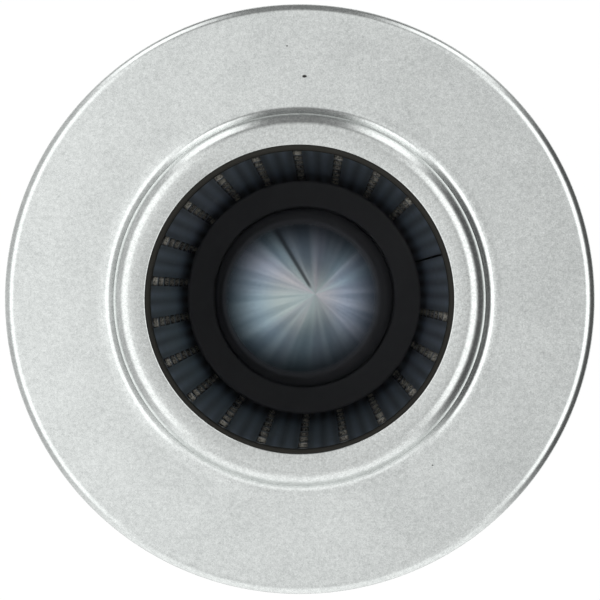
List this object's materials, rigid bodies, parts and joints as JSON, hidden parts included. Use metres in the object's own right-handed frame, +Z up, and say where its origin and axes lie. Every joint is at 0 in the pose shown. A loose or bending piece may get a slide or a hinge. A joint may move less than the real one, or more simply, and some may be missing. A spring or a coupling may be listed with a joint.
{
  "type": "hydraulic filter element",
  "caption": "Cylindrical pleated filter element with pressed metal end caps, a raised collar with a seal round its open bore, and a slotted centre tube.",
  "frame": {"origin": "on the element's axis, at the closed cap's flat underside, on which it stands", "axes": "+Z up the axis, out of the open end; the centre tube's seam stands 17.5 degrees from +X, counterclockwise seen from above"},
  "size_m": [0.15, 0.15, 0.24],
  "materials": {
    "cap_plating": "bright zinc plating, satin and finely mottled",
    "potting": "black cast adhesive",
    "seal": "matt black rubber",
    "tube_steel": "dark blued sheet steel",
    "support_mesh": "fine woven grey mesh",
    "media": "off-white fibre sheet",
    "clip_steel": "plated strip",
    "band": "cast resin"
  },
  "bodies": {
    "root": {"open_end_cap": "cap_plating", "closed_end_cap": "cap_plating", "open_end_potting": "potting", "closed_end_potting": "potting", "collar_seal": "seal", "centre_tube": "tube_steel", "outer_mesh": "support_mesh", "filter_media": "media", "inner_mesh": "support_mesh", "pleat_clip": "clip_steel", "pleat_band_1": "band", "pleat_band_2": "band", "pleat_band_3": "band"}
  },
  "joints": []
}
